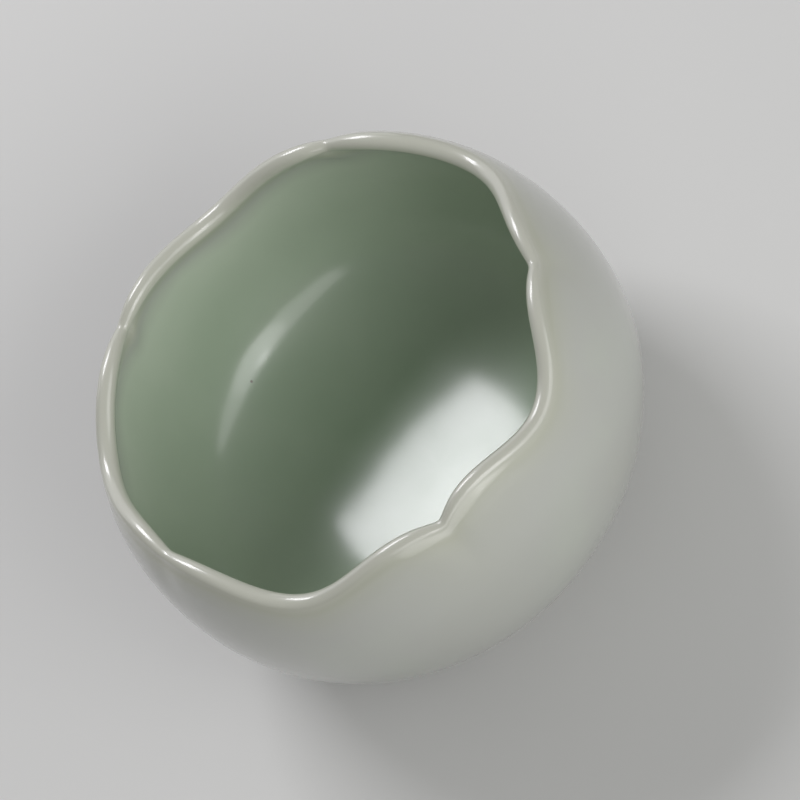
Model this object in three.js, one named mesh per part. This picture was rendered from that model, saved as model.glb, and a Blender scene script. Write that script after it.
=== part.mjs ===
// Brush washer: a squat porcelain bowl with a rolled lip of five petals, standing on a turned foot ring.
// Millimetres, +Z up, origin at the centre of the foot's standing face.
// The wall is a superellipse revolved about Z. Its top edge rises and falls once in every petal. Where two
// petals meet, the edge is nicked, the roll is pinched thin, and a short fold runs down the wall.

import * as THREE from "three";

// Driving dimensions of the wall
const BODY_RADIUS = 62.5; // outer radius at the widest level
const UPPER_RISE = 58.7; // height above the widest level at which the upper wall would close
const UPPER_POWER = 0.942;
const LOWER_DROP = 44.4; // depth below the widest level at which the lower wall would close
const LOWER_POWER = 0.873;
const WALL_THICKNESS = 4.2;
const INNER_DEPTH = 33.5; // from the widest level down to the middle of the floor
const INNER_POWER = 0.8;

// Driving dimensions of the lip
const LIP_RADIUS = 2.2; // radius of the rolled edge
const LIP_INSET = 2.5; // from the wall's outer skin to the middle of the rolled edge
const VALLEY_DEPTH = 0.3; // hollow that runs along the outside just below the rolled edge
const VALLEY_DISTANCE = 3.7; // from the rolled edge's middle to the hollow's middle, down the wall
const SHOULDER_HEIGHT = 29.2; // middle of the rolled edge above the widest level, beside a nick
const PETAL_DIP = 6.85; // how far the edge falls from there to the middle of a petal
const DIP_POWER = 1.39; // higher keeps the edge up for longer before it dips

// Driving dimensions of the nicks between the petals
const NICK_WIDTH = 6.6; // degrees of azimuth from a nick's middle to where less than half its depth is left
const NICK_ROUNDING = 1.2; // degrees of azimuth over which the bottom of a nick is rounded
const NICK_PINCH = 0.36; // share of the rolled edge's radius that is pinched away in a nick
const NICK_SPREAD = 0.3; // how far the rolled edge stands out in a nick
const FOLD_DEPTH = 0.8; // how far the fold below a nick presses the wall in
const FOLD_WIDTH = 4; // degrees of azimuth from the fold's middle to each side
const FOLD_DISTANCE = 5; // from the rolled edge's middle down to where the fold is deepest

// The petals are cut by hand, so each has its own values: the azimuth of the nick it starts at in degrees,
// how far the top of the lip falls in that nick, and how far the petal's middle stands above the usual dip.
const PETALS = [
  { nick: -30.9, depth: 2.45, lift: -0.1 },
  { nick: 45.6, depth: 2.8, lift: -2.2 },
  { nick: 115.8, depth: 3.6, lift: 1.2 },
  { nick: 186.6, depth: 1.0, lift: 0.85 },
  { nick: 261.5, depth: 3.8, lift: -0.4 },
];

// Driving dimensions of the foot ring and the base
const FOOT_HEIGHT = 4.5;
const FOOT_OUTER_RADIUS = 35;
const FOOT_WIDTH = 5;
const FOOT_TAPER = 1; // how much each side draws in towards the standing face
const FOOT_ROUNDING = 0.7;
const SEAT_MARGIN = 0.8; // how far the bowl's flat seat reaches past the ring, each side
const BASE_RECESS = 0.6; // hollow of the base inside the ring, above the ring's seat

// Fineness of the faces
const COLUMNS_PER_PETAL = 26;
const COLUMN_CROWDING = 0.6; // 0 spreads the columns evenly, near 1 gathers them at the nicks
const OUTER_ROWS = 16;
const LIP_ROWS = 8;
const INNER_ROWS = 14;
const ROW_CROWDING = 1.8; // above 1 gathers the rows towards the lip
const FOOT_SEGMENTS = 72;

const COLUMNS = PETALS.length * COLUMNS_PER_PETAL;
const EVEN_PETAL = 360 / PETALS.length;
const SEAT_RADIUS = FOOT_OUTER_RADIUS + SEAT_MARGIN;
const SEAT_ANGLE = Math.acos(Math.pow(SEAT_RADIUS / BODY_RADIUS, 1 / LOWER_POWER));
const WIDEST_HEIGHT = FOOT_HEIGHT + LOWER_DROP * Math.pow(Math.sin(SEAT_ANGLE), LOWER_POWER);

const bell = (distance, width) => Math.exp(-((distance / width) ** 2));

// Start and width of a petal, in degrees of azimuth.
function petalSpan(index) {
  const start = PETALS[index].nick;
  const next = PETALS[(index + 1) % PETALS.length].nick;
  return [start, (next - start + 360) % 360];
}

// Degrees of azimuth from the nearer nick, in an even petal. The place in the petal runs from 0 to 1.
const fromNick = (place) => Math.min(place, 1 - place) * EVEN_PETAL;

// How much of a nick there is, from 1 in its middle. It falls off steeply from a slightly rounded cusp.
const nickShare = (place) =>
  Math.exp((NICK_ROUNDING - Math.hypot(fromNick(place), NICK_ROUNDING)) / NICK_WIDTH);

// Height of the rolled edge's middle above the widest level. The pinch alone lowers the top of the lip too.
function edgeHeight(index, place) {
  const towardsMiddle = 2 * Math.min(place, 1 - place);
  const dip = (1 - Math.cos(Math.PI * Math.pow(towardsMiddle, DIP_POWER))) / 2;
  const lift = PETALS[index].lift * Math.sin(Math.PI * place) ** 2;
  const nearer = PETALS[place < 0.5 ? index : (index + 1) % PETALS.length];
  const nick = (nearer.depth - NICK_PINCH * LIP_RADIUS) * nickShare(place);
  return SHOULDER_HEIGHT - PETAL_DIP * dip + lift - nick;
}

// Radius of the rolled edge, which is pinched in the nicks.
const rollRadius = (place) => LIP_RADIUS * (1 - NICK_PINCH * nickShare(place));

// Parameter of the upper wall at a height above the widest level.
const angleAtRise = (rise) => Math.asin(Math.pow(rise / UPPER_RISE, 1 / UPPER_POWER));

// Point [radius, height] of the outer skin before the lip and the folds. The angle is 0 at the widest level.
function outerProfile(angle) {
  const [power, reach] = angle >= 0 ? [UPPER_POWER, UPPER_RISE] : [LOWER_POWER, -LOWER_DROP];
  const radius = BODY_RADIUS * Math.pow(Math.cos(angle), power);
  return [radius, WIDEST_HEIGHT + reach * Math.pow(Math.abs(Math.sin(angle)), power)];
}

// Outward normal of the outer skin in the meridian plane.
function outerNormal(angle) {
  const step = 1e-3;
  const [r0, z0] = outerProfile(angle - step);
  const [r1, z1] = outerProfile(angle + step);
  const length = Math.hypot(r1 - r0, z1 - z0);
  return [(z1 - z0) / length, (r0 - r1) / length];
}

// Point of the wall at a depth below the outer skin.
function belowSkin(angle, depth) {
  const [radius, height] = outerProfile(angle);
  const [normalR, normalZ] = outerNormal(angle);
  return [radius - depth * normalR, height - depth * normalZ];
}

// How far a nick moves the wall outwards. Away is the distance down the wall from the rolled edge's middle.
// The spread fades down the wall, and the fold is deepest at its own distance.
function pushedOut(place, away) {
  const spread = NICK_SPREAD * nickShare(place) * bell(away, FOLD_DISTANCE);
  const down = away / FOLD_DISTANCE;
  return spread - FOLD_DEPTH * bell(fromNick(place), FOLD_WIDTH) * down * Math.exp((1 - down ** 2) / 2);
}

// Distance from the wall's middle line out to the outer skin, which swells or draws in to the rolled edge.
function outerHalf(place, away) {
  const swell = (rollRadius(place) - LIP_INSET) * bell(away, LIP_RADIUS);
  return LIP_INSET + swell - VALLEY_DEPTH * bell(away - VALLEY_DISTANCE, 0.45 * VALLEY_DISTANCE);
}

// Distance from the wall's middle line to the inner skin.
function innerHalf(place, away) {
  const plain = WALL_THICKNESS - LIP_INSET;
  return plain + (rollRadius(place) - plain) * bell(away, 1.8 * LIP_RADIUS);
}

// Point of the inner skin below the widest level, from angle 0 there to -PI / 2 in the middle of the floor.
function innerBelow(angle) {
  const radius = (BODY_RADIUS - WALL_THICKNESS) * Math.pow(Math.cos(angle), INNER_POWER);
  return [radius, WIDEST_HEIGHT - INNER_DEPTH * Math.pow(-Math.sin(angle), INNER_POWER)];
}

// The bowl's outline at one place of one petal, from the middle of the base round to the middle of the floor.
function bowlOutline(index, place) {
  const recessRadius = FOOT_OUTER_RADIUS - FOOT_WIDTH - SEAT_MARGIN;
  const outline = [
    [0, FOOT_HEIGHT + BASE_RECESS],
    [recessRadius - 3 * BASE_RECESS, FOOT_HEIGHT + BASE_RECESS],
    [recessRadius, FOOT_HEIGHT],
  ];
  const edgeAngle = angleAtRise(edgeHeight(index, place));
  const pushed = ([radius, height], away) => [radius + pushedOut(place, away), height];

  for (let row = 0; row <= OUTER_ROWS; row++) {
    const short = Math.pow(1 - row / OUTER_ROWS, ROW_CROWDING);
    const angle = edgeAngle - (edgeAngle + SEAT_ANGLE) * short;
    const away = (edgeAngle - angle) * BODY_RADIUS;
    const wall = pushed(belowSkin(angle, LIP_INSET - outerHalf(place, away)), away);
    outline.push(row === 0 ? [SEAT_RADIUS, FOOT_HEIGHT] : wall);
  }
  const [lipR, lipZ] = pushed(belowSkin(edgeAngle, LIP_INSET), 0);
  const [normalR, normalZ] = outerNormal(edgeAngle);
  for (let row = 1; row < LIP_ROWS; row++) {
    const turn = (Math.PI * row) / LIP_ROWS;
    const [out, on] = [rollRadius(place) * Math.cos(turn), rollRadius(place) * Math.sin(turn)];
    outline.push([lipR + out * normalR - on * normalZ, lipZ + out * normalZ + on * normalR]);
  }
  for (let row = 0; row <= INNER_ROWS; row++) {
    const along = Math.pow(row / INNER_ROWS, ROW_CROWDING);
    const angle = edgeAngle - (edgeAngle + Math.PI / 2) * along;
    const away = (edgeAngle - angle) * BODY_RADIUS;
    const bare = angle >= 0 ? belowSkin(angle, LIP_INSET + innerHalf(place, away)) : innerBelow(angle);
    outline.push(row === INNER_ROWS ? [0, WIDEST_HEIGHT - INNER_DEPTH] : pushed(bare, away));
  }
  return outline;
}

// The columns of the bowl, with the columns of each petal gathered towards its nicks.
function bowlColumns() {
  const columns = [];
  for (let index = 0; index < PETALS.length; index++) {
    const [start, width] = petalSpan(index);
    for (let step = 0; step < COLUMNS_PER_PETAL; step++) {
      const turn = step / COLUMNS_PER_PETAL;
      const place = turn - (COLUMN_CROWDING / (2 * Math.PI)) * Math.sin(2 * Math.PI * turn);
      const azimuth = THREE.MathUtils.degToRad(start + width * place);
      columns.push({ azimuth, outline: bowlOutline(index, place) });
    }
  }
  return columns;
}

// Joins the columns' outlines into one closed skin. Each outline starts and ends on the axis.
function bowlSkin() {
  const columns = bowlColumns();
  const rings = columns[0].outline.length - 2;
  const positions = [0, 0, columns[0].outline[0][1]];
  for (let ring = 1; ring <= rings; ring++) {
    for (const { azimuth, outline } of columns) {
      const [radius, height] = outline[ring];
      positions.push(radius * Math.cos(azimuth), radius * Math.sin(azimuth), height);
    }
  }
  positions.push(0, 0, columns[0].outline[rings + 1][1]);

  const last = positions.length / 3 - 1;
  const vertex = (ring, column) => 1 + (ring - 1) * COLUMNS + (column % COLUMNS);
  const faces = [];
  for (let column = 0; column < COLUMNS; column++) {
    faces.push(0, vertex(1, column + 1), vertex(1, column));
    for (let ring = 1; ring < rings; ring++) {
      const [a, b] = [vertex(ring, column), vertex(ring, column + 1)];
      const [c, d] = [vertex(ring + 1, column + 1), vertex(ring + 1, column)];
      faces.push(a, b, c, a, c, d);
    }
    faces.push(last, vertex(rings, column), vertex(rings, column + 1));
  }
  const geometry = new THREE.BufferGeometry();
  geometry.setAttribute("position", new THREE.Float32BufferAttribute(positions, 3));
  geometry.setIndex(faces);
  geometry.computeVertexNormals();
  return geometry;
}

// The foot ring: a band that draws in towards a rounded standing edge.
function footRing() {
  const [inner, outer] = [FOOT_OUTER_RADIUS - FOOT_WIDTH, FOOT_OUTER_RADIUS];
  const section = new THREE.Path();
  section.moveTo(inner, FOOT_HEIGHT);
  section.lineTo(inner + FOOT_TAPER, FOOT_ROUNDING);
  section.quadraticCurveTo(inner + FOOT_TAPER, 0, inner + FOOT_TAPER + FOOT_ROUNDING, 0);
  section.lineTo(outer - FOOT_TAPER - FOOT_ROUNDING, 0);
  section.quadraticCurveTo(outer - FOOT_TAPER, 0, outer - FOOT_TAPER, FOOT_ROUNDING);
  section.lineTo(outer, FOOT_HEIGHT);
  section.lineTo(inner, FOOT_HEIGHT);
  return new THREE.LatheGeometry(section.getPoints(3), FOOT_SEGMENTS).rotateX(Math.PI / 2);
}

const glazedPorcelain = new THREE.MeshStandardMaterial({ color: 0xc3ccbd, roughness: 0.12, metalness: 0 });
const barePorcelain = new THREE.MeshStandardMaterial({ color: 0xd8d0c2, roughness: 0.85, metalness: 0 });

function namedMesh(name, geometry, material) {
  const mesh = new THREE.Mesh(geometry, material);
  mesh.name = name;
  return mesh;
}

const washer = new THREE.Group();
washer.add(namedMesh("bowl", bowlSkin(), glazedPorcelain));
washer.add(namedMesh("foot_ring", footRing(), barePorcelain));

export default washer;
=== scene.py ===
"""The looks of a celadon brush washer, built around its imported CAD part.

The washer is a closed porcelain bowl on a low turned foot. Its lip is rolled and runs round in five
hand-cut petals with a nick between each two, and a short fold runs down the wall from each nick. Lengths
are in metres, the origin is the middle of the foot's standing face, and +Z is up.
"""

import logging
import math
from dataclasses import dataclass, field
from enum import Enum

import bpy
import numpy as np
from mathutils import Matrix, Vector

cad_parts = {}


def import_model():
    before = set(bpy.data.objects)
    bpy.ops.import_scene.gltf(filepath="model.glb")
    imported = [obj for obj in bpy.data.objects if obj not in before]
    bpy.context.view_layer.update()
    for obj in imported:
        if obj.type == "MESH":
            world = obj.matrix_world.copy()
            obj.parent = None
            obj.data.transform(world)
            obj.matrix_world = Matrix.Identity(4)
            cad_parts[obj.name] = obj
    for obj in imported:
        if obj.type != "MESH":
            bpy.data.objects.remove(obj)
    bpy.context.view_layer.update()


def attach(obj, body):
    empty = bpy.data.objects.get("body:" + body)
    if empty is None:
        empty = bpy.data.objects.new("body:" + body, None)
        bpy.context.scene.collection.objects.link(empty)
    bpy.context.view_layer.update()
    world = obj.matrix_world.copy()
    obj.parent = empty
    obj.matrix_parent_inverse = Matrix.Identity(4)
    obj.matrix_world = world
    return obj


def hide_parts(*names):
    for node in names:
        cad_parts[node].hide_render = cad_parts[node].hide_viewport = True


log = logging.getLogger("brush_washer")

MM = 0.001
BOWL_NODE = "bowl"
FOOT_NODE = "foot_ring"
IMAGE_SIZE = 800  # pixels each way in the photograph's frame
# The layer holds glaze thickness, with painted shade towards the inner floor.
GLAZE_LAYER = "glaze_depth_and_shade"

Colour = tuple[float, float, float]  # red, green and blue from 0 to 255


class Skin(Enum):
    """Which stretch of the bowl's outline a row of points belongs to."""

    BASE = "the underside inside the foot ring"
    OUTSIDE = "the outer wall"
    LIP = "the rolled edge"
    INSIDE = "the inner wall and the floor"


def linear(colour: Colour) -> tuple[float, float, float, float]:
    """Turns a display colour into the linear colour that a shader socket takes.

    It follows the sRGB curve, which is a straight line near black and a power above that.

    Args:
        colour: Red, green and blue from 0 to 255.

    Returns:
        The linear colour with an alpha of 1.
    """
    shares = np.array(colour, float) / 255.0
    low, high = shares / 12.92, ((shares + 0.055) / 1.055) ** 2.4
    red, green, blue = np.where(shares <= 0.04045, low, high)
    return (float(red), float(green), float(blue), 1.0)


def bell(distance: np.ndarray, width: float) -> np.ndarray:
    """The bell curve exp(-(distance / width) squared).

    Args:
        distance: Distances from the middle of the bell.
        width: Distance at which the bell has fallen to 1 / e.

    Returns:
        Values from 0 to 1.
    """
    return np.exp(-((distance / width) ** 2))


def settling(run: np.ndarray, start: float, length: float) -> np.ndarray:
    """Rises from 0 at the start towards 1, as 1 less a falling exponential of the run past the start.

    Args:
        run: Distances along the wall.
        start: Distance at which the rise starts.
        length: Distance past the start at which 1 / e is still missing.

    Returns:
        Values from 0 to 1.
    """
    return 1.0 - np.exp(-np.clip(run - start, 0.0, None) / length)


def mesh_object(name: str, points: np.ndarray, faces: np.ndarray) -> bpy.types.Object:
    """Makes a smooth-shaded mesh object from whole arrays.

    Args:
        name: The piece's name.
        points: Vertex positions, shape (n, 3).
        faces: Quads as vertex numbers, shape (m, 4).

    Returns:
        The new object, linked to the scene, with its place in its mesh.
    """
    mesh = bpy.data.meshes.new(name)
    mesh.vertices.add(len(points))
    mesh.vertices.foreach_set("co", points.astype(np.float32).ravel())
    mesh.loops.add(faces.size)
    mesh.loops.foreach_set("vertex_index", faces.astype(np.int32).ravel())
    mesh.polygons.add(len(faces))
    mesh.polygons.foreach_set("loop_start", np.arange(0, faces.size, 4, dtype=np.int32))
    mesh.polygons.foreach_set("use_smooth", np.ones(len(faces), dtype=bool))
    mesh.update(calc_edges=True)
    piece = bpy.data.objects.new(name, mesh)
    bpy.context.scene.collection.objects.link(piece)
    return piece


def ring_faces(rings: int, columns: int, closed: bool = False) -> np.ndarray:
    """Joins rings of points into quads, each ring closed on itself.

    Args:
        rings: Number of rings.
        columns: Points in each ring.
        closed: Whether the last ring is joined to the first.

    Returns:
        Quads, shape (m, 4). They face outwards where the rings run anticlockwise seen from above and follow
        an outline that comes up the outside and goes down the inside.
    """
    ring, column = np.meshgrid(np.arange(rings if closed else rings - 1), np.arange(columns), indexing="ij")
    ahead = (column + 1) % columns
    here, there = ring * columns, ((ring + 1) % rings) * columns
    quads = np.stack([here + column, here + ahead, there + ahead, there + column], axis=-1)
    return quads.reshape(-1, 4)


def with_poles(points: np.ndarray, faces: np.ndarray, rings: int) -> tuple[np.ndarray, np.ndarray]:
    """Closes the first and the last ring, each with a fan of narrow quads round a point in its middle.

    Args:
        points: The rings' points, shape (rings * columns, 3), with an even number of columns.
        faces: The rings' quads.
        rings: Number of rings.

    Returns:
        The points with the two middle points after them, and the quads with the two fans after them.
    """
    columns = len(points) // rings
    middles = points.reshape(rings, columns, 3)[[0, -1]].mean(axis=1)
    first = np.arange(0, columns, 2)
    second, third = first + 1, (first + 2) % columns
    last = (rings - 1) * columns
    first_pole = np.full_like(first, len(points))
    last_pole = first_pole + 1
    first_fan = np.stack([first_pole, third, second, first], axis=-1)
    last_fan = np.stack([last_pole, last + first, last + second, last + third], axis=-1)
    return np.concatenate([points, middles]), np.concatenate([faces, first_fan, last_fan])


@dataclass(frozen=True)
class PetalCut:
    """One hand-cut petal: where its first nick is, how deep that is, and how far its middle is lifted."""

    nick: float
    depth: float
    lift: float


@dataclass(frozen=True)
class Lip:
    """How the rolled edge rises, dips and is nicked around the bowl. Angles are in degrees."""

    petals: tuple[PetalCut, ...] = (
        PetalCut(-30.9, 2.45 * MM, -0.1 * MM),
        PetalCut(45.6, 2.8 * MM, -2.2 * MM),
        PetalCut(115.8, 3.6 * MM, 1.2 * MM),
        PetalCut(186.6, 1.0 * MM, 0.85 * MM),
        PetalCut(261.5, 3.8 * MM, -0.4 * MM),
    )
    radius: float = 2.2 * MM
    inset: float = 2.5 * MM
    inner_lead: float = 1.8  # length of the inner lead-in over the rolled edge's radius
    valley_depth: float = 0.16 * MM
    valley_distance: float = 3.7 * MM
    valley_spread: float = 0.45  # the valley's width over its distance
    shoulder_height: float = 29.2 * MM
    petal_dip: float = 6.85 * MM
    dip_power: float = 1.39
    nick_width: float = 6.6
    nick_rounding: float = 1.2
    nick_pinch: float = 0.36
    nick_spread: float = 0.3 * MM
    fold_depth: float = 0.6 * MM
    fold_width: float = 4.0
    fold_distance: float = 5.0 * MM

    def columns(self, per_petal: int, crowding: float) -> tuple[np.ndarray, np.ndarray, np.ndarray]:
        """Spreads columns of points round the bowl, gathered towards the nicks.

        A column's place in its petal is its even share, less one sine wave over the petal that is as high as
        the crowding over 2 pi.

        Args:
            per_petal: Columns in each petal.
            crowding: 0 for an even spread, near 1 for all at the nicks.

        Returns:
            The petal's number, the place in the petal from 0 to 1, and the azimuth in radians, one each per
            column.
        """
        starts = np.array([petal.nick for petal in self.petals])
        widths = np.mod(np.roll(starts, -1) - starts, 360.0)
        index, step = np.divmod(np.arange(len(starts) * per_petal), per_petal)
        turn = step / per_petal
        place = turn - crowding / (2 * np.pi) * np.sin(2 * np.pi * turn)
        return index, place, np.radians(starts[index] + widths[index] * place)

    def from_nick(self, place: np.ndarray) -> np.ndarray:
        """Degrees of azimuth from the nearer nick, in a petal of even width."""
        return np.minimum(place, 1.0 - place) * 360.0 / len(self.petals)

    def nick_share(self, place: np.ndarray) -> np.ndarray:
        """How much of a nick there is, from 1 in its middle. It falls off from a slightly rounded cusp."""
        # It is the exponential of minus a distance over the width. The distance is the long side of a right
        # triangle on the rounding, less the rounding.
        distance = np.hypot(self.from_nick(place), self.nick_rounding) - self.nick_rounding
        return np.exp(-distance / self.nick_width)

    def edge_height(self, index: np.ndarray, place: np.ndarray) -> np.ndarray:
        """Height of the rolled edge's middle above the bowl's widest level.

        It is the shoulder's height, less a half cosine dip towards the petal's middle, plus the petal's own
        lift as a squared sine, less the nick. The pinch alone lowers the top of the lip too.

        Args:
            index: Each column's petal.
            place: Each column's place in its petal, from 0 to 1.

        Returns:
            Heights in metres.
        """
        towards_middle = 2.0 * np.minimum(place, 1.0 - place)
        dip = (1.0 - np.cos(np.pi * towards_middle**self.dip_power)) / 2.0
        lift = np.array([petal.lift for petal in self.petals])[index] * np.sin(np.pi * place) ** 2
        nearer = np.where(place < 0.5, index, (index + 1) % len(self.petals))
        depth = np.array([petal.depth for petal in self.petals])[nearer] - self.nick_pinch * self.radius
        nick = depth * self.nick_share(place)
        return self.shoulder_height - self.petal_dip * dip + lift - nick

    def roll_radius(self, place: np.ndarray) -> np.ndarray:
        """Radius of the rolled edge, which is pinched in the nicks."""
        return self.radius * (1.0 - self.nick_pinch * self.nick_share(place))

    def pushed_out(self, place: np.ndarray, away: np.ndarray) -> np.ndarray:
        """How far a nick moves the wall outwards.

        The edge stands out by a share that fades down the wall. Below it a fold presses the wall in, by the
        distance down times a falling exponential of its square, deepest at the fold's own distance.

        Args:
            place: Each column's place in its petal, from 0 to 1.
            away: Distances down the wall from the rolled edge's middle.

        Returns:
            Distances in metres.
        """
        spread = self.nick_share(place) * bell(away, self.fold_distance)
        down = away / self.fold_distance
        fold = bell(self.from_nick(place), self.fold_width) * down * np.exp((1.0 - down**2) / 2.0)
        return self.nick_spread * spread - self.fold_depth * fold

    def outer_half(self, place: np.ndarray, away: np.ndarray) -> np.ndarray:
        """Distance from the wall's middle line out to the outer skin.

        It is the inset plus a bell that leads to the rolled edge, less a bell for the valley below it.

        Args:
            place: Each column's place in its petal, from 0 to 1.
            away: Distances down the wall from the rolled edge's middle.

        Returns:
            Distances in metres.
        """
        swell = (self.roll_radius(place) - self.inset) * bell(away, self.radius)
        width = self.valley_spread * self.valley_distance
        valley = self.valley_depth * bell(away - self.valley_distance, width)
        return self.inset + swell - valley

    def inner_half(self, place: np.ndarray, away: np.ndarray, plain: float) -> np.ndarray:
        """Distance from the wall's middle line to the inner skin, by a bell from plain to the edge."""
        return plain + (self.roll_radius(place) - plain) * bell(away, self.inner_lead * self.radius)


@dataclass(frozen=True)
class Foot:
    """Sizes of the foot ring and of the seat that it meets."""

    height: float = 4.5 * MM
    outer_radius: float = 35.0 * MM
    width: float = 5.0 * MM
    taper: float = 1.0 * MM
    rounding: float = 0.7 * MM
    seat_margin: float = 0.8 * MM
    recess: float = 0.6 * MM
    columns: int = 360
    rounding_points: int = 7
    side_points: int = 9

    def section(self) -> np.ndarray:
        """The ring's closed outline: two drawn-in sides and two quarter-round standing edges.

        A side is a straight blend of its two ends, and an edge is a quarter circle by its cosine and sine.

        Returns:
            Radii and heights, shape (n, 2), anticlockwise from the inside of the seat.
        """
        inner = self.outer_radius - self.width
        turn = np.linspace(0.0, np.pi / 2, self.rounding_points)
        low_in = inner + self.taper + self.rounding
        low_out = self.outer_radius - self.taper - self.rounding
        rounded_in = np.stack(
            [low_in - self.rounding * np.cos(turn), self.rounding * (1.0 - np.sin(turn))], axis=-1
        )
        rounded_out = np.stack(
            [low_out + self.rounding * np.sin(turn), self.rounding * (1.0 - np.cos(turn))], axis=-1
        )
        share = np.linspace(0.0, 1.0, self.side_points)[:-1, None]
        side_in = np.array([[inner, self.height]]) * (1 - share) + rounded_in[:1] * share
        side_out = rounded_out[-1:] * (1 - share) + np.array([[self.outer_radius, self.height]]) * share
        seat = np.array([[self.outer_radius, self.height], [inner + self.width / 2, self.height]])
        return np.concatenate([side_in, rounded_in, rounded_out[:-1], side_out, seat])

    def build(self, finish: bpy.types.Material) -> bpy.types.Object:
        """Builds the ring by carrying its outline round the axis, and dresses it.

        Args:
            finish: The ring's material.

        Returns:
            The foot ring.
        """
        outline = self.section()
        turn = np.arange(self.columns) * 2 * np.pi / self.columns
        radius, height = outline[:, :1], outline[:, 1:] + np.zeros_like(turn)
        points = np.stack([radius * np.cos(turn), radius * np.sin(turn), height], axis=-1)
        faces = ring_faces(len(outline), self.columns, closed=True)
        piece = mesh_object("turned_foot", points.reshape(-1, 3), faces)
        piece.data.materials.append(finish)
        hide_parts(FOOT_NODE)
        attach(piece, "root")
        return piece


@dataclass(frozen=True)
class Bowl:
    """The glazed bowl: wall, floor and rolled lip."""

    lip: Lip = field(default_factory=Lip)
    foot: Foot = field(default_factory=Foot)
    body_radius: float = 62.5 * MM
    upper_rise: float = 58.7 * MM
    upper_power: float = 0.942
    lower_drop: float = 44.4 * MM
    lower_power: float = 0.873
    wall_thickness: float = 4.2 * MM
    inner_depth: float = 33.5 * MM
    inner_power: float = 0.8
    columns_per_petal: int = 96
    column_crowding: float = 0.6
    outer_rows: int = 64
    lip_rows: int = 22
    inner_rows: int = 64
    row_crowding: float = 1.5
    inner_reach: float = 0.995
    base_rows: tuple[float, ...] = (0.02, 0.3, 0.6, 0.9)  # radii over the recess's radius
    recess_slope: float = 3.0  # run of the slope at the recess's edge over its rise
    wall_glaze: float = 0.38
    wall_glaze_start: float = 2.2 * MM
    wall_glaze_length: float = 3.6 * MM
    inner_glaze: float = 0.5
    inner_glaze_start: float = 2.4 * MM
    inner_glaze_length: float = 4.2 * MM
    # Where the inner floor's pooled green and painted shade begin, and how slowly they deepen.
    pool_and_shade_start: float = 8.0 * MM
    pool_and_shade_length: float = 60.0 * MM

    def seat_angle(self) -> float:
        """Parameter of the lower wall at the seat's outer radius."""
        seat = self.foot.outer_radius + self.foot.seat_margin
        return math.acos((seat / self.body_radius) ** (1 / self.lower_power))

    def widest_height(self) -> float:
        """Height of the widest level above the standing face."""
        return self.foot.height + self.lower_drop * math.sin(self.seat_angle()) ** self.lower_power

    def outer_profile(self, angle: np.ndarray) -> tuple[np.ndarray, np.ndarray]:
        """The outer skin in a meridian plane, before the lip and the folds.

        It is a superellipse: the radius is the body's radius times the cosine to a power, and the height is
        the rise or the drop times the sine to that power, with one power above the widest level and one
        below.

        Args:
            angle: Parameters in radians, 0 at the widest level.

        Returns:
            Radii and heights.
        """
        power = np.where(angle >= 0, self.upper_power, self.lower_power)
        reach = np.where(angle >= 0, self.upper_rise, -self.lower_drop)
        radius = self.body_radius * np.cos(angle) ** power
        return radius, self.widest_height() + reach * np.abs(np.sin(angle)) ** power

    def outer_normal(self, angle: np.ndarray) -> tuple[np.ndarray, np.ndarray]:
        """Outward normal of the outer skin in a meridian plane, from a small central difference.

        Args:
            angle: Parameters in radians.

        Returns:
            The normal's radial and vertical parts.
        """
        step = 1e-3
        r0, z0 = self.outer_profile(angle - step)
        r1, z1 = self.outer_profile(angle + step)
        length = np.hypot(r1 - r0, z1 - z0)
        return (z1 - z0) / length, (r0 - r1) / length

    def below_skin(self, angle: np.ndarray, depth: np.ndarray) -> tuple[np.ndarray, np.ndarray]:
        """Points of the wall at a depth below the outer skin, along its normal.

        Args:
            angle: Parameters in radians.
            depth: Depths in metres.

        Returns:
            Radii and heights.
        """
        radius, height = self.outer_profile(angle)
        normal_r, normal_z = self.outer_normal(angle)
        return radius - depth * normal_r, height - depth * normal_z

    def inner_skin(self, angle: np.ndarray, half: np.ndarray) -> tuple[np.ndarray, np.ndarray]:
        """The inner skin: a layer of the wall's thickness above the widest level, a superellipse below it.

        Args:
            angle: Parameters in radians, from the lip down to minus a quarter turn at the floor's middle.
            half: Distances from the wall's middle line to the inner skin.

        Returns:
            Radii and heights.
        """
        upper_r, upper_z = self.below_skin(np.maximum(angle, 0.0), self.lip.inset + half)
        low = np.minimum(angle, 0.0)
        lower_r = (self.body_radius - self.wall_thickness) * np.cos(low) ** self.inner_power
        lower_z = self.widest_height() - self.inner_depth * (-np.sin(low)) ** self.inner_power
        above = angle >= 0
        return np.where(above, upper_r, lower_r), np.where(above, upper_z, lower_z)

    def outline(self) -> tuple[np.ndarray, np.ndarray, np.ndarray, list[Skin]]:
        """The bowl's outlines, one per column, from the base's middle round to the floor's middle.

        The rows of both walls crowd towards the lip, as an even share to a power. The rolled edge is half a
        circle round a point of the wall's middle line, by its cosine along the wall's normal and its sine
        along the wall.

        Returns:
            Radii and heights, each of shape (rows, columns), the columns' azimuths, and each row's skin.
        """
        foot, lip = self.foot, self.lip
        index, place, azimuth = lip.columns(self.columns_per_petal, self.column_crowding)
        flat = np.zeros_like(azimuth)
        # The profile's parameter at the lip, from the profile's height formula solved for the angle.
        edge = np.arcsin((lip.edge_height(index, place) / self.upper_rise) ** (1 / self.upper_power))

        recess = foot.outer_radius - foot.width - foot.seat_margin
        slope = [recess - self.recess_slope * foot.recess, recess, recess + foot.seat_margin]
        base_r = np.concatenate([np.array(self.base_rows) * recess, slope])
        base_z = np.where(base_r < recess, foot.height + foot.recess, foot.height)
        base = (base_r[:, None] + flat, base_z[:, None] + flat)

        short = (1.0 - np.arange(self.outer_rows + 1) / self.outer_rows)[:, None] ** self.row_crowding
        angle = edge - (edge + self.seat_angle()) * short
        away = (edge - angle) * self.body_radius
        radius, height = self.below_skin(angle, lip.inset - lip.outer_half(place, away))
        outside = (radius + lip.pushed_out(place, away), np.maximum(height, foot.height))

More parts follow.
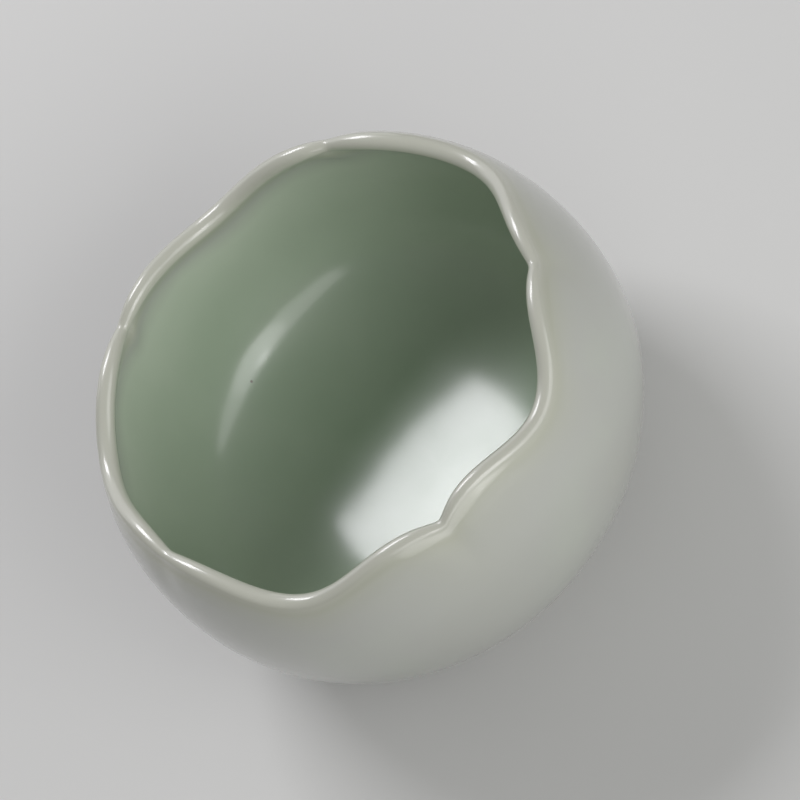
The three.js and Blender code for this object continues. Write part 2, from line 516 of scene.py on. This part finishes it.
        turn = (np.pi * np.arange(1, self.lip_rows) / self.lip_rows)[:, None]
        middle_r, middle_z = self.below_skin(edge, lip.inset + flat)
        middle_r = middle_r + lip.pushed_out(place, flat)
        normal_r, normal_z = self.outer_normal(edge)
        out, along = lip.roll_radius(place) * np.cos(turn), lip.roll_radius(place) * np.sin(turn)
        rolled = (
            middle_r + out * normal_r - along * normal_z,
            middle_z + out * normal_z + along * normal_r,
        )

        share = (np.arange(self.inner_rows + 1) / self.inner_rows * self.inner_reach)[:, None]
        angle = edge - (edge + np.pi / 2) * share**self.row_crowding
        away = (edge - angle) * self.body_radius
        half = lip.inner_half(place, away, self.wall_thickness - lip.inset)
        radius, height = self.inner_skin(angle, half)
        inside = (radius + lip.pushed_out(place, away), height)

        stretches = {Skin.BASE: base, Skin.OUTSIDE: outside, Skin.LIP: rolled, Skin.INSIDE: inside}
        skins = [skin for skin, (rows, _) in stretches.items() for _ in range(len(rows))]
        radii = np.concatenate([rows for rows, _ in stretches.values()])
        heights = np.concatenate([rows for _, rows in stretches.values()])
        return radii, heights, azimuth, skins

    def glaze_depth_and_shade(self, radii: np.ndarray, heights: np.ndarray, skins: list[Skin]) -> np.ndarray:
        """How thick the glaze lies at each point, from 0 where it runs thin over the lip to 1 on the floor,
        and how deep the painted shade lies inside.

        Outside it settles to the wall's own share with the length of wall below the crest of the lip.
        Inside it first settles to a greater share, and then slowly rises to 1 where the glaze pools and the
        painted shade of the deep bowl is darkest.

        Args:
            radii: Radii of the points, shape (rows, columns).
            heights: Heights of the points, shape (rows, columns).
            skins: Each row's skin.

        Returns:
            Values of shape (rows, columns).
        """
        across = np.diff(radii, axis=0, prepend=radii[:1])
        along = np.diff(heights, axis=0, prepend=heights[:1])
        run = np.cumsum(np.hypot(across, along), axis=0)
        lip_rows = [row for row, skin in enumerate(skins) if skin is Skin.LIP]
        crest = lip_rows[len(lip_rows) // 2]
        away = np.abs(run - run[crest])
        inner = (np.arange(len(skins)) > crest)[:, None]
        outside = self.wall_glaze * settling(away, self.wall_glaze_start, self.wall_glaze_length)
        near_lip = self.inner_glaze * settling(away, self.inner_glaze_start, self.inner_glaze_length)
        # Painted shade: this rise darkens the inner wall towards the floor, as well as greening it where the
        # glaze pools.
        pooled_and_shaded = (1.0 - self.inner_glaze) * settling(away, self.pool_and_shade_start, self.pool_and_shade_length)
        return np.where(inner, near_lip + pooled_and_shaded, outside)

    def build(self, glaze: bpy.types.Material) -> bpy.types.Object:
        """Builds the bowl's skin, marks how thick its glaze lies and where shade is painted, and dresses it.

        Args:
            glaze: The glaze material.

        Returns:
            The bowl.
        """
        radii, heights, azimuth, skins = self.outline()
        points = np.stack([radii * np.cos(azimuth), radii * np.sin(azimuth), heights], axis=-1)
        rings, columns = radii.shape
        faces = ring_faces(rings, columns)
        piece = mesh_object("glazed_bowl", *with_poles(points.reshape(-1, 3), faces, rings))
        depth = self.glaze_depth_and_shade(radii, heights, skins).ravel()
        depth = np.concatenate([depth, [depth[0], depth[-1]]]).astype(np.float32)
        layer = piece.data.attributes.new(GLAZE_LAYER, "FLOAT", "POINT")
        layer.data.foreach_set("value", depth)
        piece.data.materials.append(glaze)
        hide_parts(BOWL_NODE)
        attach(piece, "root")
        return piece


class SharedEffects:
    """The shader node groups that both finishes use, each placed with the finish's own values."""

    noise_low: float = 0.3  # nearly all of the noise lies above this
    noise_high: float = 0.7  # nearly all of the noise lies below this
    speck_core: float = 0.4  # share of a speck's radius that is wholly dark

    def __init__(self) -> None:
        """Builds each group once."""
        self.drift = self.build_drift()
        self.speck = self.build_speck()

    @staticmethod
    def empty_group(
        name: str, inputs: dict[str, str], output: str
    ) -> tuple[bpy.types.NodeTree, bpy.types.Node, bpy.types.Node]:
        """Makes a group with named sockets and nothing between them.

        Args:
            name: The group's name.
            inputs: Socket type by name.
            output: Name of the one value that comes out.

        Returns:
            The group, its input node and its output node.
        """
        group = bpy.data.node_groups.new(name, "ShaderNodeTree")
        for label, kind in inputs.items():
            group.interface.new_socket(name=label, in_out="INPUT", socket_type=kind)
        group.interface.new_socket(name=output, in_out="OUTPUT", socket_type="NodeSocketFloat")
        return group, group.nodes.new("NodeGroupInput"), group.nodes.new("NodeGroupOutput")

    def build_drift(self) -> bpy.types.NodeTree:
        """Builds a value that wanders over the surface, as noise stretched to about -reach to reach.

        Returns:
            The group.
        """
        numbers = dict.fromkeys(("Scale", "Detail", "Reach"), "NodeSocketFloat")
        sockets = {"Place": "NodeSocketVector", **numbers}
        group, given, result = self.empty_group("fired_drift", sockets, "Amount")
        noise = group.nodes.new("ShaderNodeTexNoise")
        for socket, name in (("Vector", "Place"), ("Scale", "Scale"), ("Detail", "Detail")):
            group.links.new(given.outputs[name], noise.inputs[socket])
        stretched = group.nodes.new("ShaderNodeMapRange")
        stretched.clamp = False
        stretched.inputs["From Min"].default_value = self.noise_low
        stretched.inputs["From Max"].default_value = self.noise_high
        stretched.inputs["To Min"].default_value = -1.0
        group.links.new(noise.outputs["Fac"], stretched.inputs["Value"])
        scaled = group.nodes.new("ShaderNodeMath")
        scaled.operation = "MULTIPLY"
        group.links.new(stretched.outputs["Result"], scaled.inputs[0])
        group.links.new(given.outputs["Reach"], scaled.inputs[1])
        group.links.new(scaled.outputs[0], result.inputs["Amount"])
        return group

    def build_speck(self) -> bpy.types.NodeTree:
        """Builds the mask of one iron speck, which falls from 1 to 0 between its core and its radius.

        Returns:
            The group.
        """
        vectors = dict.fromkeys(("Place", "Middle"), "NodeSocketVector")
        sockets = {**vectors, "Radius": "NodeSocketFloat"}
        group, given, result = self.empty_group("iron_speck", sockets, "Mask")
        distance = group.nodes.new("ShaderNodeVectorMath")
        distance.operation = "DISTANCE"
        group.links.new(given.outputs["Place"], distance.inputs[0])
        group.links.new(given.outputs["Middle"], distance.inputs[1])
        share = group.nodes.new("ShaderNodeMath")
        share.operation = "DIVIDE"
        group.links.new(distance.outputs["Value"], share.inputs[0])
        group.links.new(given.outputs["Radius"], share.inputs[1])
        fallen = group.nodes.new("ShaderNodeMapRange")
        fallen.inputs["From Min"].default_value = 1.0
        fallen.inputs["From Max"].default_value = self.speck_core
        group.links.new(share.outputs[0], fallen.inputs["Value"])
        group.links.new(fallen.outputs["Result"], result.inputs["Mask"])
        return group


@dataclass(frozen=True)
class IronSpeck:
    """One dark speck of iron in the fired surface: where its middle is and how big it is."""

    middle: tuple[float, float, float]
    radius: float


@dataclass(frozen=True)
class Drift:
    """A value that wanders over the surface: what it is, waves per metre, finer layers, reach either way."""

    label: str
    scale: float
    detail: float
    reach: float


@dataclass(frozen=True)
class Tone:
    """A colour, and the value at which a run of colours reaches it."""

    value: float
    colour: Colour


@dataclass(frozen=True)
class Finish:
    """What both finishes share: their specks, the speck's colour and the way nodes are put together."""

    effects: SharedEffects
    specks: tuple[IronSpeck, ...] = ()
    iron: Colour = (92, 86, 66)

    @staticmethod
    def start(name: str) -> tuple[bpy.types.Material, bpy.types.NodeTree, bpy.types.NodeSocket]:
        """Makes a node material.

        Args:
            name: The material's name.

        Returns:
            The material, its node tree and the Object coordinates.
        """
        material = bpy.data.materials.new(name)
        material.use_nodes = True
        tree = material.node_tree
        return material, tree, tree.nodes.new("ShaderNodeTexCoord").outputs["Object"]

    def drifting(
        self, tree: bpy.types.NodeTree, place: bpy.types.NodeSocket, drift: Drift
    ) -> bpy.types.NodeSocket:
        """Places a wandering value.

        Args:
            tree: The material's node tree.
            place: Object coordinates.
            drift: How the value wanders.

        Returns:
            The value.
        """
        node = tree.nodes.new("ShaderNodeGroup")
        node.node_tree = self.effects.drift
        node.label = drift.label
        tree.links.new(place, node.inputs["Place"])
        for name, value in (("Scale", drift.scale), ("Detail", drift.detail), ("Reach", drift.reach)):
            node.inputs[name].default_value = value
        return node.outputs["Amount"]

    def speckled(
        self, tree: bpy.types.NodeTree, place: bpy.types.NodeSocket, colour: bpy.types.NodeSocket
    ) -> bpy.types.NodeSocket:
        """Darkens a colour with the finish's iron specks.

        Args:
            tree: The material's node tree.
            place: Object coordinates.
            colour: The colour without specks.

        Returns:
            The colour with specks.
        """
        for speck in self.specks:
            node = tree.nodes.new("ShaderNodeGroup")
            node.node_tree = self.effects.speck
            node.inputs["Middle"].default_value = speck.middle
            node.inputs["Radius"].default_value = speck.radius
            tree.links.new(place, node.inputs["Place"])
            mixed = tree.nodes.new("ShaderNodeMix")
            mixed.data_type = "RGBA"
            mixed.inputs["B"].default_value = linear(self.iron)
            tree.links.new(node.outputs["Mask"], mixed.inputs["Factor"])
            tree.links.new(colour, mixed.inputs["A"])
            colour = mixed.outputs["Result"]
        return colour

    @staticmethod
    def coloured(
        tree: bpy.types.NodeTree, value: bpy.types.NodeSocket, tones: tuple[Tone, ...]
    ) -> bpy.types.NodeSocket:
        """Turns a value into a colour.

        Args:
            tree: The material's node tree.
            value: The value.
            tones: Two or more tones, in the rising order of their values.

        Returns:
            The colour.
        """
        ramp = tree.nodes.new("ShaderNodeValToRGB")
        elements = ramp.color_ramp.elements
        for element, tone in zip(list(elements), (tones[0], tones[-1])):
            element.position, element.color = tone.value, linear(tone.colour)
        for tone in tones[1:-1]:
            elements.new(tone.value).color = linear(tone.colour)
        tree.links.new(value, ramp.inputs["Fac"])
        return ramp.outputs["Color"]

    @staticmethod
    def bumped(
        tree: bpy.types.NodeTree, height: bpy.types.NodeSocket, strength: float, rise: float
    ) -> bpy.types.NodeSocket:
        """Turns a height into a normal.

        Args:
            tree: The material's node tree.
            height: The height as a value.
            strength: Share of the bump.
            rise: Height in metres of a value of 1.

        Returns:
            The normal.
        """
        bump = tree.nodes.new("ShaderNodeBump")
        bump.inputs["Strength"].default_value = strength
        bump.inputs["Distance"].default_value = rise
        tree.links.new(height, bump.inputs["Height"])
        return bump.outputs["Normal"]

    @staticmethod
    def added(
        tree: bpy.types.NodeTree, first: bpy.types.NodeSocket, second: bpy.types.NodeSocket | float
    ) -> bpy.types.NodeSocket:
        """Adds a value or a number to a value.

        Args:
            tree: The material's node tree.
            first: A value.
            second: A value or a number.

        Returns:
            The sum.
        """
        total = tree.nodes.new("ShaderNodeMath")
        total.operation = "ADD"
        tree.links.new(first, total.inputs[0])
        if isinstance(second, float):
            total.inputs[1].default_value = second
        else:
            tree.links.new(second, total.inputs[1])
        return total.outputs[0]


@dataclass(frozen=True)
class CeladonGlaze(Finish):
    """A glossy glaze, nearly white where it runs thin over the lip and greener where it lies thicker, with
    painted shade that darkens it towards the inner floor.
    """

    thin: Tone = Tone(0.03, (187, 188, 176))
    edge: Tone = Tone(0.2, (176, 178, 163))
    usual: Tone = Tone(0.38, (179, 181, 174))
    inner: Tone = Tone(0.54, (188, 199, 181))
    # Painted shade: the floor's tone is darker than the glaze alone, for the shade deep in the bowl, and
    # greener where the glaze pools.
    pooled_and_shaded: Tone = Tone(1.0, (126, 153, 121))
    specks: tuple[IronSpeck, ...] = (
        IronSpeck((-14.26 * MM, 48.56 * MM, 22.37 * MM), 0.45 * MM),
        IronSpeck((-37.63 * MM, 48.16 * MM, 31.0 * MM), 0.3 * MM),
        IronSpeck((-53.51 * MM, -20.54 * MM, 22.0 * MM), 0.35 * MM),
        IronSpeck((15.94 * MM, 52.15 * MM, 18.0 * MM), 0.25 * MM),
    )
    clouds: Drift = Drift("thicker and thinner glaze", 38.0, 3.0, 0.03)
    satin: Drift = Drift("glossier and duller places", 75.0, 2.0, 0.04)
    ripple: Drift = Drift("ripple of the fired surface", 70.0, 1.0, 1.0)
    ripple_strength: float = 0.03
    ripple_rise: float = 0.15 * MM
    refraction: float = 1.5
    roughness: float = 0.34
    coat_weight: float = 1.0
    coat_roughness: float = 0.15

    def build(self) -> bpy.types.Material:
        """Builds the glaze as a node material.

        The glaze's thickness picks the colour, with soft clouds in it; towards the inner floor the colour
        also holds painted shade. Iron specks darken it, and a very low ripple breaks up the gloss.

        Returns:
            The material.
        """
        material, tree, place = self.start("celadon_glaze")
        shader = tree.nodes["Principled BSDF"]
        shader.inputs["IOR"].default_value = self.refraction
        shader.inputs["Coat Weight"].default_value = self.coat_weight
        shader.inputs["Coat Roughness"].default_value = self.coat_roughness

        # The layer's value is glaze thickness and, towards the inner floor, painted shade.
        depth = tree.nodes.new("ShaderNodeAttribute")
        depth.attribute_name = GLAZE_LAYER
        clouds = self.drifting(tree, place, self.clouds)
        thickness_and_shade = self.added(tree, depth.outputs["Fac"], clouds)
        tones = (self.thin, self.edge, self.usual, self.inner, self.pooled_and_shaded)
        colour = self.coloured(tree, thickness_and_shade, tones)
        tree.links.new(self.speckled(tree, place, colour), shader.inputs["Base Color"])

        satin = self.drifting(tree, place, self.satin)
        tree.links.new(self.added(tree, satin, self.roughness), shader.inputs["Roughness"])
        ripple = self.drifting(tree, place, self.ripple)
        normal = self.bumped(tree, ripple, self.ripple_strength, self.ripple_rise)
        tree.links.new(normal, shader.inputs["Normal"])
        return material


@dataclass(frozen=True)
class WipedFoot(Finish):
    """Glaze on the foot's sides, wiped off its standing edge to leave bare, slightly gritty porcelain."""

    specks: tuple[IronSpeck, ...] = (
        IronSpeck((24.59 * MM, 20.63 * MM, 0.0), 0.3 * MM),
        IronSpeck((-11.25 * MM, -30.92 * MM, 0.0), 0.25 * MM),
    )
    thin_glaze: Tone = Tone(0.0, (176, 178, 164))
    full_glaze: Tone = Tone(0.7, (179, 181, 175))
    warm: Tone = Tone(0.0, (184, 168, 146))
    pale: Tone = Tone(0.8, (204, 197, 184))
    halfway: float = 0.5  # value that the clouds and the grit wander about
    clouds: Drift = Drift("thicker and thinner glaze", 38.0, 3.0, 0.5)
    grit: Drift = Drift("grit of bare porcelain", 700.0, 4.0, 0.5)
    grit_strength: float = 0.2
    grit_rise: float = 0.1 * MM
    wander: Drift = Drift("wander of the glaze line", 90.0, 2.0, 0.4 * MM)
    line_height: float = 1.6 * MM
    line_width: float = 0.5 * MM
    glossy: float = 0.2
    bare: float = 0.85

    def build(self) -> bpy.types.Material:
        """Builds the foot's finish as a node material with an uneven glaze line.

        The glaze begins where the height, moved up and down by a wandering value, passes the line.

        Returns:
            The material.
        """
        material, tree, place = self.start("wiped_foot")
        shader = tree.nodes["Principled BSDF"]
        split = tree.nodes.new("ShaderNodeSeparateXYZ")
        tree.links.new(place, split.inputs["Vector"])
        wander = self.drifting(tree, place, self.wander)
        glazed = tree.nodes.new("ShaderNodeMapRange")
        glazed.inputs["From Min"].default_value = self.line_height
        glazed.inputs["From Max"].default_value = self.line_height + self.line_width
        tree.links.new(self.added(tree, split.outputs["Z"], wander), glazed.inputs["Value"])

        grit = self.drifting(tree, place, self.grit)
        bare = self.coloured(tree, self.added(tree, grit, self.halfway), (self.warm, self.pale))
        clouds = self.added(tree, self.drifting(tree, place, self.clouds), self.halfway)
        glaze = self.coloured(tree, clouds, (self.thin_glaze, self.full_glaze))
        both = tree.nodes.new("ShaderNodeMix")
        both.data_type = "RGBA"
        tree.links.new(glazed.outputs["Result"], both.inputs["Factor"])
        tree.links.new(bare, both.inputs["A"])
        tree.links.new(glaze, both.inputs["B"])
        speckled = self.speckled(tree, place, both.outputs["Result"])
        tree.links.new(speckled, shader.inputs["Base Color"])

        matt = tree.nodes.new("ShaderNodeMapRange")
        matt.inputs["To Min"].default_value = self.bare
        matt.inputs["To Max"].default_value = self.glossy
        tree.links.new(glazed.outputs["Result"], matt.inputs["Value"])
        tree.links.new(matt.outputs["Result"], shader.inputs["Roughness"])
        normal = self.bumped(tree, grit, self.grit_strength, self.grit_rise)
        tree.links.new(normal, shader.inputs["Normal"])
        return material


@dataclass(frozen=True)
class Lamp:
    """An oblong lamp that faces the bowl. Angles are in degrees, and a face of brightness 1 looks white."""

    name: str
    elevation: float
    azimuth: float
    distance: float
    width: float
    height: float
    brightness: float
    tint: tuple[float, float, float] = (1.0, 1.0, 1.0)  # shares of red, green and blue

    def aim(self) -> Vector:
        """Unit vector from the bowl towards the lamp."""
        up, round_z = math.radians(self.elevation), math.radians(self.azimuth)
        return Vector((math.cos(up) * math.cos(round_z), math.cos(up) * math.sin(round_z), math.sin(up)))

    def place(self, middle: Vector) -> bpy.types.Object:
        """Makes the lamp.

        Its power is pi times its area times its brightness, which gives its face that brightness.

        Args:
            middle: The point that the lamp faces.

        Returns:
            The lamp.
        """
        light = bpy.data.lights.new(self.name, "AREA")
        light.shape = "RECTANGLE"
        light.size, light.size_y = self.width, self.height
        light.energy = math.pi * self.width * self.height * self.brightness
        light.color = self.tint
        placed = bpy.data.objects.new(self.name, light)
        placed.visible_camera = False
        placed.location = middle + self.aim() * self.distance
        placed.rotation_euler = self.aim().to_track_quat("Z", "Y").to_euler()
        bpy.context.scene.collection.objects.link(placed)
        return placed


@dataclass(frozen=True)
class Studio:
    """The plain studio: floor, world, soft lamps and the photograph's camera. Angles are in degrees."""

    body_radius: float
    widest_level: float
    elevation: float = 52.35
    roll: float = -48.6
    radius_by_distance: float = 0.0737  # the body's radius over the camera's distance
    radius_in_pixels: float = 277.9  # the body's radius in the photograph's frame
    widest_middle: tuple[float, float] = (371.6, 408.95)  # pixel of the widest level's middle
    sensor_width: float = 36.0  # millimetres
    nearest_seen: float = 0.01
    world_strength: float = 0.2
    floor_seen: Colour = (212, 212, 210)
    floor_bounce: Colour = (140, 140, 138)
    floor_roughness: float = 0.9
    floor_reach: float = 3.0
    floor_gap: float = 0.02 * MM
    # Each lamp's elevation, azimuth, distance, width, height and brightness, and its tint if it isn't white.
    lamps: tuple[Lamp, ...] = (
        Lamp("small_window", 50.0, 87.0, 1.0, 0.47, 0.28, 10.8, (0.97, 0.96, 1.0)),
        Lamp("broad_front", 24.0, -78.0, 1.5, 2.8, 1.1, 1.7),
        Lamp("middle_front", 25.0, -73.0, 1.35, 0.75, 0.8, 2.0),
        Lamp("front_window", 40.0, -74.0, 1.2, 0.12, 0.13, 5.0),
        Lamp("soft_back", 22.0, 85.0, 1.3, 1.8, 0.8, 0.9),
    )

    def axes(self) -> tuple[Vector, Vector, Vector]:
        """The camera's right, up and backward directions.

        Returns:
            Three unit vectors.
        """
        tilt, roll = math.radians(self.elevation), math.radians(self.roll)
        back = Vector((0.0, -math.cos(tilt), math.sin(tilt)))
        level = Vector((1.0, 0.0, 0.0))
        right = level * math.cos(roll) + back.cross(level) * math.sin(roll)
        return right, back.cross(right), back

    def camera(self) -> bpy.types.Object:
        """Makes the camera so that the middle of the bowl's widest level lands where the photograph has it.

        Returns:
            The camera, set as the scene's camera.
        """
        right, up, back = self.axes()
        distance = self.body_radius / self.radius_by_distance
        pixels_per_metre = self.radius_in_pixels / self.body_radius
        off_x = (IMAGE_SIZE / 2 - self.widest_middle[0]) / pixels_per_metre
        off_y = (self.widest_middle[1] - IMAGE_SIZE / 2) / pixels_per_metre
        target = Vector((0.0, 0.0, self.widest_level)) + right * off_x + up * off_y
        lens = bpy.data.cameras.new("photograph_camera")
        lens.sensor_width = self.sensor_width
        lens.lens = pixels_per_metre * distance / IMAGE_SIZE * self.sensor_width
        lens.clip_start = self.nearest_seen
        camera = bpy.data.objects.new("photograph_camera", lens)
        turned = Matrix((right, up, back)).transposed().to_4x4()
        camera.matrix_world = Matrix.Translation(target + back * distance) @ turned
        bpy.context.scene.collection.objects.link(camera)
        bpy.context.scene.camera = camera
        return camera

    def floor_finish(self) -> bpy.types.Material:
        """Makes the floor's material: pale where it is seen, greyer in the light that it throws back.

        Returns:
            The material.
        """
        material = bpy.data.materials.new("studio_floor")
        material.use_nodes = True
        tree = material.node_tree
        rays = tree.nodes.new("ShaderNodeLightPath").outputs
        seen = rays["Is Camera Ray"]
        for name in ("Is Glossy Ray", "Is Transmission Ray"):
            either = tree.nodes.new("ShaderNodeMath")
            either.operation = "MAXIMUM"
            tree.links.new(seen, either.inputs[0])
            tree.links.new(rays[name], either.inputs[1])
            seen = either.outputs[0]
        mixed = tree.nodes.new("ShaderNodeMix")
        mixed.data_type = "RGBA"
        mixed.inputs["A"].default_value = linear(self.floor_bounce)
        mixed.inputs["B"].default_value = linear(self.floor_seen)
        tree.links.new(seen, mixed.inputs["Factor"])
        shader = tree.nodes["Principled BSDF"]
        shader.inputs["Roughness"].default_value = self.floor_roughness
        tree.links.new(mixed.outputs["Result"], shader.inputs["Base Color"])
        return material

    def floor(self) -> bpy.types.Object:
        """Makes the pale floor, a square just below the foot so that the two faces don't coincide.

        Returns:
            The floor.
        """
        corners = np.array([(-1, -1), (1, -1), (1, 1), (-1, 1)]) * self.floor_reach
        points = np.column_stack([corners, np.full(len(corners), -self.floor_gap)])
        floor = mesh_object("studio_floor", points, np.array([[0, 1, 2, 3]]))
        floor.data.materials.append(self.floor_finish())
        return floor

    def build(self) -> None:
        """Sets up the whole studio."""
        scene = bpy.context.scene
        scene.view_settings.view_transform = "Standard"
        world = bpy.data.worlds.new("studio_world")
        world.use_nodes = True
        background = world.node_tree.nodes["Background"]
        background.inputs["Color"].default_value = (1.0, 1.0, 1.0, 1.0)
        background.inputs["Strength"].default_value = self.world_strength
        scene.world = world
        self.camera()
        self.floor()
        for lamp in self.lamps:
            lamp.place(Vector((0.0, 0.0, self.widest_level)))


def main() -> None:
    """Builds the washer and its studio around the loaded frame and reports each piece."""
    logging.basicConfig(level=logging.INFO, format="%(name)s: %(message)s")
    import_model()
    effects = SharedEffects()
    bowl = Bowl()
    glazed = bowl.build(CeladonGlaze(effects).build())
    log.info("glazed bowl: %d faces", len(glazed.data.polygons))
    ring = bowl.foot.build(WipedFoot(effects).build())
    log.info("turned foot: %d faces", len(ring.data.polygons))
    studio = Studio(body_radius=bowl.body_radius, widest_level=bowl.widest_height())
    studio.build()
    log.info("studio: floor, camera and %d soft lamps", len(studio.lamps))
    bpy.context.view_layer.update()


if __name__ == "__main__":
    main()
